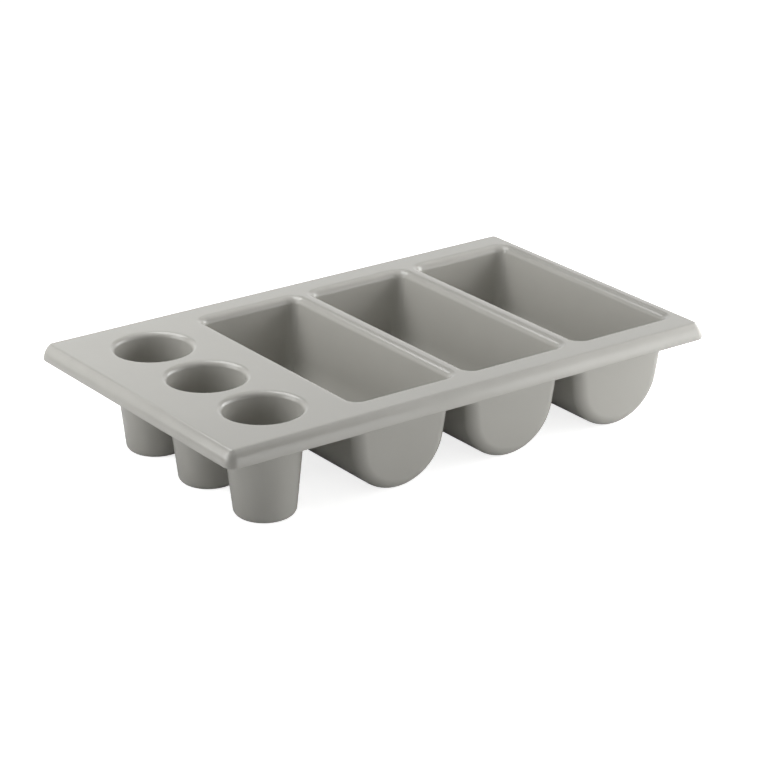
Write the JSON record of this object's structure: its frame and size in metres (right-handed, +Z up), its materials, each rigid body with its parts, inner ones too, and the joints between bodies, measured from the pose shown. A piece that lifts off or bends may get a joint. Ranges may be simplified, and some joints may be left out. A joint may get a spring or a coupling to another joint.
{
  "type": "cutlery dispenser tray",
  "caption": "Shallow rectangular cutlery dispenser: a rolled-edge moulded tray with round cups beside long half-round troughs, all open at the top.",
  "frame": {"origin": "on the ground under the middle of the tray, where the cups and troughs stand", "axes": "+Z up out of the cups and troughs; +X along the long side, from the cups towards the troughs; +Y along the short side"},
  "size_m": [0.53, 0.325, 0.1],
  "materials": {
    "moulded_plastic": "satin to semi-gloss warm light grey, moulded through"
  },
  "bodies": {
    "root": {"rim_frame": "moulded_plastic", "deck_panel": "moulded_plastic", "left_trough": "moulded_plastic", "middle_trough": "moulded_plastic", "right_trough": "moulded_plastic", "front_cup": "moulded_plastic", "middle_cup": "moulded_plastic", "rear_cup": "moulded_plastic"}
  },
  "joints": []
}
